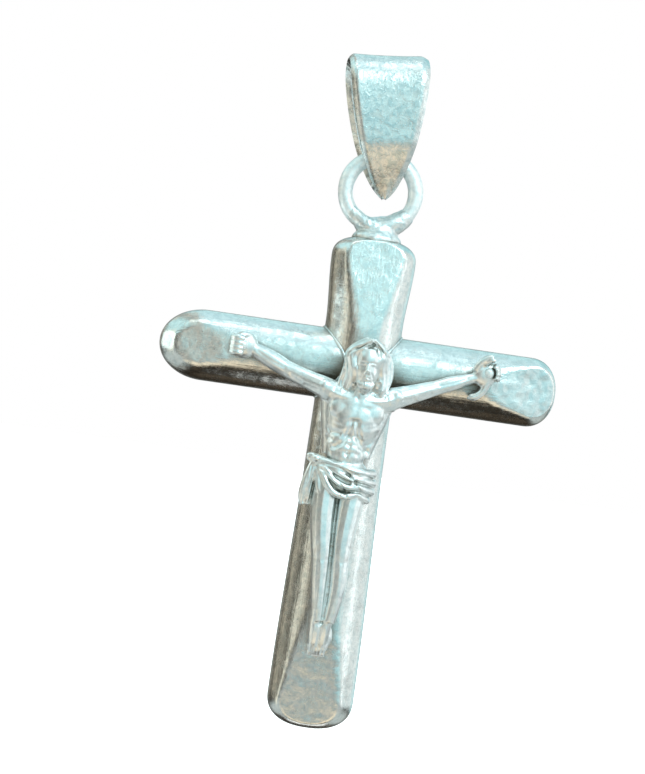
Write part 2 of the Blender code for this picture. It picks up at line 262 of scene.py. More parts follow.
def silver(name, colour, oxide_and_shade_colour, along, rough, line, wave, grain, shelter, shelter_mm, metal=1.0,
           shade_and_oxide_range=(0.22, 0.9)):
    """line, wave, grain and shelter are the strengths of the lines, the unevenness, the grain and the
    darkening of sheltered surface, partly oxide in hollows and partly painted shade, which grows as the share
    of hidden surroundings within shelter_mm passes through shade_and_oxide_range."""
    material = bpy.data.materials.new(name)
    material.use_nodes = True
    skin = Finish(material.node_tree)
    shader = material.node_tree.nodes["Principled BSDF"]
    place = skin.add("TexCoord", out=3)
    in_mm = skin.add("Mapping", {"Vector": place, "Scale": (1 / MM,) * 3})
    stretch = [ACROSS_LINES / MM] * 3
    stretch["XYZ".index(along)] = ALONG_LINES / MM
    lines = skin.noise(skin.add("Mapping", {"Vector": place, "Scale": stretch}), 1.0, 4.0, 0.6)
    slow = skin.noise(in_mm, 0.55, 2.0, 0.5)
    blotch = skin.noise(in_mm, 1.3, 5.0, 0.6, 0.6)
    mottle = skin.noise(in_mm, 2.4, 4.0, 0.65, 0.5)
    fine = skin.noise(in_mm, 11.0, 4.0, 0.65)

    # Painted shade: the share of surroundings hidden within shelter_mm darkens the colour, partly as oxide in
    # hollows and partly as painted shade in creases, at joints and round the figure.
    shade = skin.add("AmbientOcclusion", {"Distance": shelter_mm * MM}, out=1, samples=8)
    sheltered = (1 - shade).within(*shade_and_oxide_range) * shelter
    worn = blotch.within(0.45, 0.7)
    patches = mottle.within(0.4, 0.64)
    deeper = [channel * share for channel, share in zip(colour, (0.6, 0.72, 0.76))]
    tone = skin.mix(patches * (0.2 + 0.6 * grain), colour, deeper)
    wear_oxide_and_painted_shade = (sheltered + worn * 0.14).maths("MINIMUM", 1.0)
    skin.feed(shader.inputs["Base Color"], skin.mix(wear_oxide_and_painted_shade, tone, oxide_and_shade_colour))
    roughness = worn * 0.1 + fine * 0.08 + lines * (0.1 * line) + sheltered * 0.2 + (rough - 0.06)
    skin.feed(shader.inputs["Roughness"], roughness)
    height = slow * (0.16 * wave) + lines * (0.014 * line) + fine * (0.01 * grain) + mottle * (0.045 * grain)
    bump = skin.add("Bump", {"Strength": 1.0, "Distance": MM, "Height": height})
    skin.feed(shader.inputs["Normal"], bump)
    shader.inputs["Metallic"].default_value = metal
    return material


BRIGHT, WHITE, FILED = (0.9, 0.95, 0.94), (0.95, 1.0, 1.0), (0.87, 0.92, 0.92)
WORN, ROLLED = (0.92, 0.98, 0.98), (0.9, 0.94, 0.93)
# Dark colours for sheltered surface, each partly oxide and partly painted shade.
OXIDE_AND_SHADE, PATINA_AND_SHADE = (0.13, 0.105, 0.075), (0.25, 0.28, 0.25)
# On the tubes and their flat faces the sheltered darkening is painted shade: a dark border round the figure,
# at the crossing and near the feet.
TUBE = dict(rough=0.15, line=1.4, wave=0.6, grain=0.3, shelter=1.0, shelter_mm=2.4, shade_and_oxide_range=(0.14, 0.7))
FACE = dict(grain=0.5, shelter=1.0, shelter_mm=1.6)
FINISHES = {
    "upright": silver("polished_tube_upright", BRIGHT, OXIDE_AND_SHADE, "Z", **TUBE),
    "arms": silver("polished_tube_arms", BRIGHT, OXIDE_AND_SHADE, "X", **TUBE),
    "upright_face": silver("filed_face_upright", FILED, OXIDE_AND_SHADE, "Z", 0.32, line=0.8, wave=1.0, **FACE),
    "arm_face": silver("filed_face_arms", FILED, OXIDE_AND_SHADE, "X", 0.28, line=0.6, wave=1.5, **FACE),
    # On the casting and the solder the darkening is patina in the hollows, deepened by painted shade in the
    # creases.
    "cast": silver("cast_figure", WHITE, PATINA_AND_SHADE, "Z", 0.3, line=0.2, wave=0.3, grain=0.35, shelter=1.3,
                   shelter_mm=0.4, metal=0.94, shade_and_oxide_range=(0.18, 0.68)),
    "wire": silver("worn_wire", WORN, OXIDE_AND_SHADE, "X", 0.38, line=0.3, wave=0.3, grain=0.5, shelter=1.1,
                   shelter_mm=1.0, metal=0.68),
    "solder": silver("solder", WHITE, PATINA_AND_SHADE, "X", 0.36, line=0.1, wave=0.4, grain=1.0, shelter=1.4,
                     shelter_mm=0.5, metal=0.92, shade_and_oxide_range=(0.12, 0.6)),
    "bail": silver("bail_strip", ROLLED, OXIDE_AND_SHADE, "Z", 0.24, line=0.5, wave=0.5, grain=0.8, shelter=0.9,
                   shelter_mm=1.2),
}

# %% [markdown]
# ## The tubes of the cross
# The upright and the arms are tubes closed by a low dome, with a flat face cut on the slant at the front of
# each end. Across the tube the outline is an oval, whose front is limited to the height of the face. A soft
# minimum does that: it rounds the rim a little, as polishing does. Points are crowded towards the rim.

# %% The outline of one end
RIM = 0.22  # how far polishing has rounded a face's rim
UPRIGHT_RADIUS = 2.72

# Half width and half depth at the end, height and squareness of the dome, length of the flat face, depth of
# its cut at the tip and how far it is turned about the tube, as the CAD has them. The frame gives the reach.
ENDS = {
    "top": dict(wide=2.98, deep=2.68, dome=1.6, square=2.6, face=6.6, cut=1.0, twist=0.0),
    "right": dict(wide=2.44, deep=2.44, dome=2.0, square=2.2, face=5.4, cut=1.3, twist=0.0),
    "bottom": dict(wide=3.04, deep=2.7, dome=2.2, square=2.4, face=8.6, cut=1.05, twist=math.radians(-6)),
    "left": dict(wide=2.48, deep=2.48, dome=3.2, square=2.0, face=5.6, cut=0.9, twist=0.0),
}
OUTWARD = {"top": (0, 0, 1), "right": (1, 0, 0), "bottom": (0, 0, -1), "left": (-1, 0, 0)}
for end, axis, side in (("top", 2, 1), ("right", 0, 1), ("bottom", 2, 0), ("left", 0, 0)):
    ENDS[end]["reach"] = abs(reach(f"{end}_end_cap", axis, side))
FLARE_START, TWIST_START, TWIST_LENGTH = 3.0, 3, 4  # distances from the crossing along the upright


def half_sizes(end, z):
    """Half width and half depth at a distance z from the crossing towards an end, dome included."""
    size = ENDS[end]
    foot = size["reach"] - size["dome"]
    wide, deep = size["wide"] + 0 * z, size["deep"] + 0 * z
    if end in ("top", "bottom"):
        spread = ease((z - FLARE_START) / (foot - FLARE_START))
        wide = UPRIGHT_RADIUS + (wide - UPRIGHT_RADIUS) * spread
        deep = UPRIGHT_RADIUS + (deep - UPRIGHT_RADIUS) * spread
    up_dome = np.clip((z - foot) / size["dome"], 0.0, 1.0)
    share = np.maximum(1 - up_dome ** size["square"], 0.0) ** (1 / size["square"])
    return wide * share, deep * share


def face_height(end, z):
    """How far in front of the axis the plane of an end's flat face is, at a distance z from the crossing."""
    size = ENDS[end]
    apex = size["reach"] - size["face"]
    return half_sizes(end, np.float64(apex))[1] - (z - apex) * size["cut"] / size["face"]


def soft_minimum(a, b, blend):
    gap = np.clip(0.5 + 0.5 * (b - a) / blend, 0.0, 1.0)
    return b + (a - b) * gap - blend * gap * (1 - gap)


FRONT_SHARE = 0.36  # share of the points round a tube that lie in front of the rim


def outline(around, wide, deep, height, twist):
    """Across and front-to-back places round an oval that a face cuts off at a height, turned by a twist."""
    height = np.minimum(height, deep * 0.9995)
    rim = np.arccos(np.clip(height / np.maximum(deep, 1e-6), 0.0, 1.0))
    turn = np.abs(around - 0.5) * 2  # 1 at the back, 0 at the front
    in_front = rim * (1 - (1 - np.clip(turn / FRONT_SHARE, 0, 1)) ** 1.8)
    behind = rim + (math.pi - rim) * np.clip((turn - FRONT_SHARE) / (1 - FRONT_SHARE), 0, 1) ** 1.5
    angle = np.where(turn < FRONT_SHARE, in_front, behind) * np.sign(around - 0.5) + twist
    x, y = wide * np.sin(angle), deep * np.cos(angle)
    forward = x * np.sin(twist) + y * np.cos(twist)
    cut_off = np.where(forward > 0, forward - soft_minimum(forward, height, RIM), 0.0)
    return x - cut_off * np.sin(twist), cut_off * np.cos(twist) - y


# %% [markdown]
# The rows of points step evenly along the straight part of a tube and by equal turns round its dome.

# %% Rows along a tube
AROUND, DOME_ROWS = 200, 34


def rows_for(end, straight):
    """Distances from the crossing for the rows of points on the way to an end's tip."""
    size = ENDS[end]
    foot = size["reach"] - size["dome"]
    turn = np.linspace(0, math.pi / 2, DOME_ROWS)
    dome = foot + size["dome"] * np.sin(turn) ** (2 / size["square"])
    return np.concatenate([np.linspace(0.0, foot, straight, endpoint=False), dome])


def section(end, z):
    """Half width, half depth, face height and twist at a distance z from the crossing towards an end."""
    twist = ENDS[end]["twist"] * ease((z - TWIST_START) / TWIST_LENGTH)
    return np.stack([*half_sizes(end, z), face_height(end, z), twist])


def arm(end):
    rows = rows_for(end, 90)

    def shape(around, along):
        z = rows[np.rint(along * (len(rows) - 1)).astype(int)]
        across, back = outline(around, *section(end, z))
        return OUTWARD[end][0] * z, back, across

    return wrap(AROUND, len(rows) - 1, shape)


def upright():
    rows = np.concatenate([-rows_for("bottom", 150)[::-1], rows_for("top", 60)[1:]])

    def shape(around, along):
        z = rows[np.rint(along * (len(rows) - 1)).astype(int)]
        across, back = outline(around, *np.where(z < 0, section("bottom", -z), section("top", z)))
        return across, back, z

    return wrap(AROUND, len(rows) - 1, shape)


# %% [markdown]
# The parts of the mesh that point the way a flat face does get the filed finish, and the rest the polished
# one. Each arm is a piece of its own.

# %% Make the cross


def mark_faces(obj, tests):
    """The second material goes on every mesh face that points along one of the given directions."""
    for polygon in obj.data.polygons:
        if any(polygon.normal.dot(direction) > 0.9992 for direction in tests):
            polygon.material_index = 1


def face_normal(end):
    size = ENDS[end]
    slope = math.atan2(size["cut"], size["face"])
    forward = Vector((math.sin(size["twist"]), -math.cos(size["twist"]), 0))
    return forward * math.cos(slope) + Vector(OUTWARD[end]) * math.sin(slope)


upright_piece = to_place(
    upright(), "upright", "cross",
    ["upright_tube", "top_face_plate", "bottom_face_plate", "top_end_cap", "bottom_end_cap"],
    "polished_silver", FINISHES["upright"], FINISHES["upright_face"],
)
mark_faces(upright_piece, [face_normal("top"), face_normal("bottom")])
for end in ("left", "right"):
    arm_piece = to_place(
        arm(end), f"{end}_arm", "cross", [f"{end}_arm_tube", f"{end}_face_plate", f"{end}_end_cap"],
        "polished_silver", FINISHES["arms"], FINISHES["arm_face"],
    )
    mark_faces(arm_piece, [face_normal(end)])

# %% [markdown]
# ## The solder seams
# Each arm is soldered to the side of the upright. A thin bead runs along the seam, which lies as far out at
# every turn round the arm as the upright's own surface there.

# %% Solder seams
BEAD = 0.11  # radius of the bead


def unit(vectors):
    return vectors / np.linalg.norm(vectors, axis=0)


def seam(end):
    radius = ENDS[end]["wide"]

    def shape(around, along):
        turn = 2 * math.pi * along
        y, z = radius * np.cos(turn), radius * np.sin(turn)
        x = np.sqrt(UPRIGHT_RADIUS ** 2 - y ** 2)
        out = unit(np.stack([x + 1.2, y, z * 0.5]))
        tangent = unit(np.stack([y * np.sin(turn) / x, -np.sin(turn), np.cos(turn)]))
        side = np.cross(out, tangent, axis=0)
        lump = BEAD * (1 + 0.25 * np.sin(turn * 9) * np.sin(turn * 4 + 1))
        spin = 2 * math.pi * around
        bead = lump * (np.cos(spin) * out + np.sin(spin) * side)
        return OUTWARD[end][0] * (x + bead[0]), y + bead[1], z + bead[2]

    return wrap(10, 160, shape)


for end in ("left", "right"):
    to_place(seam(end), f"{end}_arm_seam", "cross", [], "polished_silver", FINISHES["solder"])

# %% [markdown]
# ## The wire ring and its solder
# The ring is a length of round wire bent into a circle. One end of the wire shows at the bottom, a little in
# front of the other. So the wire steps forward at its start, and rounds off to nothing at the free end.

# %% The ring
ring_x, _, ring_z = from_crossing(middle("suspension_ring"))
RING = Vector((ring_x, 0.0, ring_z))
WIRE = reach("suspension_ring", 1, 1)
RING_RADIUS = reach("suspension_ring", 0, 1) - RING.x - WIRE
FREE_END, SWEEP = math.radians(-84), math.radians(356)
STEP_FORWARD, STEP_LENGTH = 0.2, 2.2


def ring():
    def shape(around, along):
        angle = FREE_END - SWEEP * along
        from_end = along * SWEEP * RING_RADIUS
        rounded = np.sqrt(np.clip(1 - (1 - np.clip(from_end / WIRE, 0, 1)) ** 2, 0.0004, 1))
        wire = WIRE * rounded * (1 + 0.02 * np.sin(3 * angle) + 0.015 * np.sin(7 * angle + 1))
        forward = -STEP_FORWARD * (1 - ease(from_end / STEP_LENGTH))
        spin = 2 * math.pi * around
        out = RING_RADIUS + wire * np.cos(spin)
        return RING.x + out * np.cos(angle), forward + wire * np.sin(spin), RING.z + out * np.sin(angle)

    return wrap(40, 260, shape)


to_place(ring(), "wire_ring", "cross", ["suspension_ring"], "wire_silver", FINISHES["wire"])

# %% [markdown]
# Solder flows into a joint and freezes in soft lumps. Overlapping balls and strands give the lumps, a voxel
# remesh makes one skin of them, and smoothing draws the skin together like a liquid. A slow unevenness is
# then added to it.

# %% Solder at the foot of the ring


def ball(centre, sizes, turn=(0, 0, 0)):
    """A rounded mass, as a modeller adds a lump of wax."""
    bpy.ops.mesh.primitive_ico_sphere_add(subdivisions=4, radius=1, location=centre, scale=sizes,
                                          rotation=[math.radians(angle) for angle in turn])
    return bpy.context.object


def strand(*points):
    """A tapered length of wax through points of (x, y, z, radius)."""
    curve = bpy.data.curves.new("strand", "CURVE")
    curve.dimensions = "3D"
    spline = curve.splines.new("NURBS")
    spline.points.add(len(points) - 1)
    for knot, (x, y, z, radius) in zip(spline.points, points):
        knot.co = (x, y, z, 1)
        knot.radius = radius
    spline.order_u, spline.use_endpoint_u = min(4, len(points)), True
    curve.resolution_u = 6
    curve.bevel_depth = 1.0
    curve.bevel_resolution = 5
    curve.use_fill_caps = True
    obj = bpy.data.objects.new("strand", curve)
    bpy.context.scene.collection.objects.link(obj)
    pick(obj)
    bpy.ops.object.convert(target="MESH")
    return bpy.context.object


def one_skin(forms, voxel, smoothing):
    """The overlapping forms become one closed mesh, smoothed where they meet."""
    obj = pick(*forms)
    bpy.ops.object.join()
    bpy.ops.object.transform_apply(location=True, rotation=True, scale=True)
    obj.data.remesh_voxel_size = voxel
    obj.data.remesh_voxel_adaptivity = 0.0
    bpy.ops.object.voxel_remesh()
    modify(obj, "SMOOTH", factor=0.5, iterations=smoothing)
    bpy.ops.object.shade_smooth()
    return obj


def along_ring(*places):
    """A strand that follows the ring's wire through places of (degrees round it, forward, radius)."""
    points = []
    for degrees, forward, radius in places:
        turn = math.radians(degrees)
        x, z = RING.x + RING_RADIUS * math.cos(turn), RING.z + RING_RADIUS * math.sin(turn)
        points.append((x, -forward, z, radius))
    return strand(*points)


def solder():
    top = ENDS["top"]["reach"]
    foot = RING.z - RING_RADIUS
    start()
    lumps = [
        ball((0.0, -0.05, top - 0.1), (1.75, 1.6, 0.75)),
        ball((0.0, 0.0, top + 0.35), (1.45, 1.1, 0.9)),
        ball((0.0, -0.85, top - 0.1), (1.3, 0.85, 0.6)),
        ball((0.85, 0.0, foot + 0.25), (0.95, 0.75, 0.65)),
        ball((-1.0, 0.0, foot - 0.05), (0.8, 0.75, 0.6), (0, 30, 0)),
        along_ring((-142, 0.0, 0.5), (-127, 0.14, 0.54), (-112, 0.34, 0.56), (-97, 0.5, 0.56),
                   (-86, 0.5, 0.46)),
        along_ring((-108, 0, 0.55), (-92, 0, 0.74), (-76, 0, 0.84), (-60, 0, 0.8), (-45, 0, 0.68),
                   (-30, 0, 0.57)),
    ]
    obj = one_skin(lumps, voxel=0.06, smoothing=20)
    points, normals = read_points(obj), read_points(obj, "normal")
    for i, point in enumerate(points):
        bumps = noise.noise(Vector(point) * 1.1) * 0.1 + noise.noise(Vector(point) * 3.1) * 0.04
        points[i] += normals[i] * bumps
    write_points(obj, points)
    return obj


to_place(solder(), "ring_solder_lump", "cross", ["ring_solder"], "wire_silver", FINISHES["solder"])

# %% [markdown]
# ## The bail
# The bail is one strip, widest at its crown and folded so that its pointed tips meet inside the ring. Its
# path runs up the front leaf, over the crown and down the back leaf. The strip is slightly dished, with
# bevelled edges, so each point also moves a little off the path.

# %% The bail's path
HINGE = frame["joints"][0]["pos_m"]
BAIL_LEAN = math.atan2(HINGE[0], -HINGE[2])
PIVOT = from_crossing(HINGE)
STRIP = 0.42  # thickness of the strip
HALF_DEPTH = reach("bail", 1, 1) - STRIP / 2
CROWN = 7.2 - STRIP / 2  # height of the middle of the strip above the pivot
HALF_WIDTH = 2.66
TWIST = math.radians(1.5)
WIDEST_UP_TO = 6.35
TIP = -2.8
BORDERS = (0.2, 0.42)  # width of the bevelled border along the left and the right edge of the strip
# Depth and height of points up one leaf.
LEAF = [(0.22, TIP), (0.34, -2.45), (0.62, -1.88), (0.98, -1.18), (1.35, -0.45), (1.63, 0.25), (1.81, 0.8),
        (1.88, 1.25), (1.91, 2.05), (HALF_DEPTH, 3.2), (HALF_DEPTH, CROWN - HALF_DEPTH)]


def turned(a, b, angle):
    return a * math.cos(angle) - b * math.sin(angle), a * math.sin(angle) + b * math.cos(angle)


def bail_path(count):
    """Evenly spaced (depth, height) points from the front tip over the crown to the back tip."""
    crown_turns = np.linspace(0, math.pi, 13)[1:-1]
    crown = [(-HALF_DEPTH * math.cos(a), CROWN - HALF_DEPTH + HALF_DEPTH * math.sin(a))
             for a in crown_turns]
    knots = np.array([(-y, z) for y, z in LEAF] + crown + [(y, z) for y, z in reversed(LEAF)])
    start()
    bpy.ops.curve.primitive_nurbs_path_add()
    guide = bpy.context.object
    spline = guide.data.splines[0]
    spline.points.add(len(knots) - len(spline.points))
    for point, (y, z) in zip(spline.points, knots):
        point.co = (0, y, z, 1)
    spline.order_u, spline.use_endpoint_u = 4, True
    guide.data.resolution_u = 12
    bpy.ops.object.convert(target="MESH")
    guide = bpy.context.object
    points = read_points(guide)
    bpy.data.objects.remove(guide)
    steps = np.concatenate([[0], np.cumsum(np.linalg.norm(np.diff(points, axis=0), axis=1))])
    even = np.linspace(0, steps[-1], count)
    return np.interp(even, steps, points[:, 1]), np.interp(even, steps, points[:, 2])


# %% Make the bail


def bail():
    count = 240
    depth, height = bail_path(count + 1)
    run_y, run_z = np.gradient(depth), np.gradient(height)
    run = np.hypot(run_y, run_z)
    out_y, out_z = -run_z / run, run_y / run  # square to the path, outwards

    def shape(across, along):
        at = np.rint(along * count).astype(int)
        side = np.sin((across - 0.5) * math.pi)
        y, z = depth[at], height[at]
        narrow = np.clip((WIDEST_UP_TO - z) / (WIDEST_UP_TO - TIP), 0, 1)
        half = HALF_WIDTH * (1 - 0.998 * narrow ** 1.5) ** 0.61
        width_share = half / HALF_WIDTH
        border = np.minimum(np.where(side < 0, *BORDERS), half * 0.4)
        inside = (half - np.abs(side) * half) / np.maximum(border, 1e-4)
        bevel = -0.24 * width_share * (1 - np.clip(inside, 0, 1)) ** 1.3
        dish = 0.08 * width_share * side ** 2
        keel = 0.07 * np.exp(-(side / 0.4) ** 2) * ease((-0.8 - z) / 1.6)
        off = bevel + dish + keel
        y, z = y + out_y[at] * off, z + out_z[at] * off
        x, z = turned(side * half, z, BAIL_LEAN)
        x, y = turned(x, y, TWIST)
        return PIVOT[0] + x, y, PIVOT[2] + z

    obj = wrap(56, count, shape, closed=False)
    modify(obj, "SOLIDIFY", thickness=STRIP, offset=0.0, use_even_offset=False)
    modify(obj, "BEVEL", width=0.08, segments=3, limit_method="ANGLE", angle_limit=math.radians(50))
    face_outwards(obj)
    return obj


to_place(bail(), "folded_bail", "bail", ["bail"], "bail_silver", FINISHES["bail"])

# %% [markdown]
# ## The figure
# The corpus is one casting, first modelled in wax. It is built the same way here: limbs, locks of hair and
# folds of cloth are strands, and broad forms are balls. A voxel remesh joins them into one skin, and fine
# lines are drawn into it as with a wax tool. Places are across, back and up from the crossing.

# %% Trunk and neck


def trunk():
    return [
        ball((-0.08, -3.7, -3.6), (1.92, 1.12, 2.1)),
        strand((-2.3, -3.5, -1.85, 0.8), (-1.2, -3.7, -2.2, 0.92), (0.1, -3.72, -2.4, 0.92),
               (1.3, -3.7, -2.25, 0.92), (2.4, -3.5, -1.95, 0.8)),
        ball((-0.92, -4.18, -2.95), (1.1, 0.44, 1.0), (0, -14, 0)),
        ball((0.8, -4.18, -3.0), (1.1, 0.44, 1.0), (0, 14, 0)),
        ball((0.0, -3.9, -2.55), (2.0, 0.82, 0.75)),
        ball((-0.38, -3.9, -5.7), (1.4, 0.86, 1.9)),
        ball((-0.4, -3.75, -7.6), (1.85, 1.1, 1.5)),
        strand((-2.0, -3.4, -2.3, 0.6), (-1.85, -3.45, -3.8, 0.6), (-1.6, -3.5, -5.0, 0.52),
               (-1.5, -3.5, -6.2, 0.5)),
        strand((1.95, -3.4, -2.3, 0.6), (1.65, -3.45, -3.8, 0.6), (1.1, -3.5, -5.0, 0.52),
               (0.9, -3.5, -6.2, 0.5)),
        strand((0.1, -3.9, -2.3, 0.75), (0.15, -4.0, -1.2, 0.7), (0.2, -4.2, -0.4, 0.75)),
        strand((-0.5, -4.35, -2.2, 0.22), (-0.15, -4.5, -1.7, 0.22), (0.0, -4.5, -1.1, 0.22)),
    ]


# %% Arms and hands


def arms():
    left = [(-1.9, -3.6, -1.95, 0.85), (-2.6, -3.55, -1.65, 0.76), (-3.6, -3.3, -1.38, 0.64),
            (-4.6, -3.1, -1.05, 0.64), (-5.3, -2.98, -0.8, 0.58), (-6.0, -2.95, -0.48, 0.66),
            (-6.8, -2.9, -0.12, 0.6), (-7.6, -2.88, 0.18, 0.5), (-8.2, -2.88, 0.36, 0.48)]
    right = [(2.0, -3.6, -2.0, 0.85), (2.75, -3.55, -1.68, 0.76), (3.7, -3.3, -1.32, 0.64),
             (4.7, -3.1, -0.92, 0.6), (5.4, -2.98, -0.62, 0.5), (6.1, -2.95, -0.3, 0.56),
             (6.9, -2.9, 0.02, 0.46), (7.6, -2.88, 0.3, 0.36), (8.2, -2.88, 0.5, 0.38)]
    return [
        strand(*left), strand(*right),
        ball((-3.4, -3.62, -1.35), (0.85, 0.35, 0.42), (0, -15, 0)),
        ball((3.5, -3.62, -1.3), (0.85, 0.35, 0.42), (0, 18, 0)),
        ball((-2.45, -3.95, -1.62), (0.55, 0.42, 0.5)),
        ball((2.6, -3.95, -1.68), (0.55, 0.42, 0.5)),
    ]


def hands():
    """The left hand is a closed fist round its nail, and the right one is half open."""
    forms = [
        ball((-8.35, -2.98, 0.4), (0.95, 0.55, 0.95)),
        ball((8.6, -2.95, 0.8), (0.85, 0.42, 0.95), (0, 12, 0)),
        strand((7.9, -3.0, 0.95, 0.3), (8.05, -3.2, 1.5, 0.26), (8.5, -3.3, 1.95, 0.26),
               (9.0, -3.4, 2.0, 0.2)),
        strand((-8.0, -3.1, 1.05, 0.22), (-8.35, -3.35, 1.2, 0.22), (-8.8, -3.5, 1.0, 0.2),
               (-8.95, -3.5, 0.75, 0.14)),
        strand((8.4, -3.0, 1.2, 0.24), (8.5, -3.3, 1.65, 0.22), (8.85, -3.5, 1.9, 0.2),
               (9.15, -3.5, 1.75, 0.14)),
        strand((8.8, -2.95, 0.3, 0.34), (8.75, -2.95, -0.3, 0.28), (8.3, -2.9, -0.8, 0.24),
               (7.9, -2.85, -1.0, 0.3), (7.7, -2.8, -0.85, 0.24)),
    ]
    for i in range(4):
        z = -0.22 + 0.34 * i
        forms.append(strand((-8.65, -2.9, z, 0.24), (-9.15, -3.0, z + 0.05, 0.26),
                            (-9.2, -3.4, z + 0.06, 0.26), (-8.85, -3.62, z + 0.04, 0.25),
                            (-8.45, -3.56, z, 0.2)))
        turn = math.radians(-30 + 32 * i)
        base_x, base_z = 8.95 + 0.25 * math.cos(turn), 0.85 + 0.45 * math.sin(turn)
        far_x, far_z = base_x + 0.42 * math.cos(turn * 0.6), base_z + 0.42 * math.sin(turn * 0.6)
        forms.append(strand((base_x, -2.9, base_z, 0.2), (far_x, -3.0, far_z, 0.21),
                            (far_x + 0.05, -3.35, far_z, 0.2), (base_x + 0.12, -3.55, base_z, 0.16)))
    return forms


# %% [markdown]
# The head is turned to the front and a little down. Its face is a plain, calm one on the usual proportions:
# eyes halfway down the head, the nose a quarter above the chin, the mouth just below. The hair is parted in
# the middle and falls in waves to the shoulders, and the beard is short and pointed.

# %% Head, hair and beard
HEAD_X = 0.2


def mid(across, *rest):
    """A place whose first number is measured from the middle of the head."""
    return (HEAD_X + across, *rest)


def head():
    forms = [
        ball(mid(0, -4.25, 0.55), (1.1, 1.15, 1.3)),
        ball(mid(0, -4.55, -0.25), (0.84, 0.8, 1.15)),
        strand(mid(0, -5.26, 0.36, 0.1), mid(0, -5.42, 0.0, 0.12), mid(0, -5.56, -0.28, 0.17)),
        strand(mid(-0.62, -4.95, 0.42, 0.14), mid(-0.32, -5.2, 0.52, 0.15),
               mid(0, -5.2, 0.42, 0.12), mid(0.32, -5.2, 0.52, 0.15), mid(0.62, -4.95, 0.42, 0.14)),
        ball(mid(0, -5.0, -0.75), (0.42, 0.32, 0.3)),
        ball(mid(0, -4.85, -1.2), (0.55, 0.5, 0.5)),
        strand(mid(0, -5.3, -0.74, 0.1), mid(0, -5.34, -0.8, 0.09)),
    ]
    for side in (-1, 1):
        forms += [
            ball(mid(0.33 * side, -5.08, 0.2), (0.2, 0.13, 0.13)),
            ball(mid(0.4 * side, -4.92, -0.2), (0.34, 0.26, 0.42)),
            ball(mid(0.12 * side, -5.34, -0.33), (0.1, 0.13, 0.09)),
            strand(mid(0.04 * side, -5.3, -0.54, 0.09), mid(0.24 * side, -5.2, -0.66, 0.1),
                   mid(0.4 * side, -5.02, -0.95, 0.1), mid(0.44 * side, -4.92, -1.3, 0.09)),
        ]
    for i in range(-2, 3):
        x = HEAD_X + 0.22 * i
        forms.append(strand((x + 0.06 * i, -4.98, -0.98, 0.14), (x, -5.08, -1.25, 0.15),
                            mid(0.13 * i, -5.0, -1.55, 0.13),
                            (HEAD_X + 0.07 * i + 0.05, -4.9, -1.85 + 0.06 * abs(i), 0.06)))
    return forms


def lock(side, spread, front, length, thick, phase):
    """A wavy lock from the parting, over the temple and down to the shoulder."""
    points = []
    for i in range(12):
        share = i / 11
        down = 1.95 - (1.95 + length) * share
        out = (0.95 + 0.42 * spread) * math.sin(min(share * 3.2, 1.0) * math.pi / 2)
        out += 0.16 * math.sin(7.5 * share + phase)
        fore = -4.55 - front + 0.45 * share + 0.12 * math.sin(9 * share + phase)
        radius = thick * (0.75 + 0.35 * math.sin(math.pi * min(share * 1.15, 1.0)))
        points.append(mid(side * (0.06 + out), fore, down, radius))
    return strand(*points)


# How far a lock spreads sideways, how far forward it lies, how far it hangs and how thick it is.
LOCKS = [(-0.35, 0.55, 0.9, 0.22), (0.15, 0.42, 1.45, 0.25), (0.65, 0.2, 1.85, 0.27),
         (1.15, -0.1, 2.05, 0.29), (0.55, -0.45, 2.25, 0.32)]


def hair():
    forms = [ball(mid(0, -3.95, 0.4), (1.42, 1.05, 1.45)), ball(mid(0, -3.7, -0.9), (1.35, 0.8, 1.1))]
    forms += [ball(mid(side * 0.88, -4.05, -0.95), (0.46, 0.62, 0.8)) for side in (-1, 1)]
    for side in (-1, 1):
        longer = 0.2 if side < 0 else 0.0
        for spread, front, length, thick in LOCKS:
            forms.append(lock(side, spread, front, length + longer, thick, 2.2 * spread + side))
    for i in range(7):
        turn = math.radians(25 + 130 * i / 6)
        forms.append(ball(mid(1.12 * math.cos(turn), -4.75, 0.55 + 1.25 * math.sin(turn)),
                          (0.24, 0.26, 0.2), (0, 60 * math.sin(i), 0)))
    return forms


# %% [markdown]
# The loincloth's belt runs from the knot on one side across to the other hip, where it lies in stacked folds.
# Swags sweep from the knot across the thighs, and the loose end hangs down the side.

# %% Loincloth


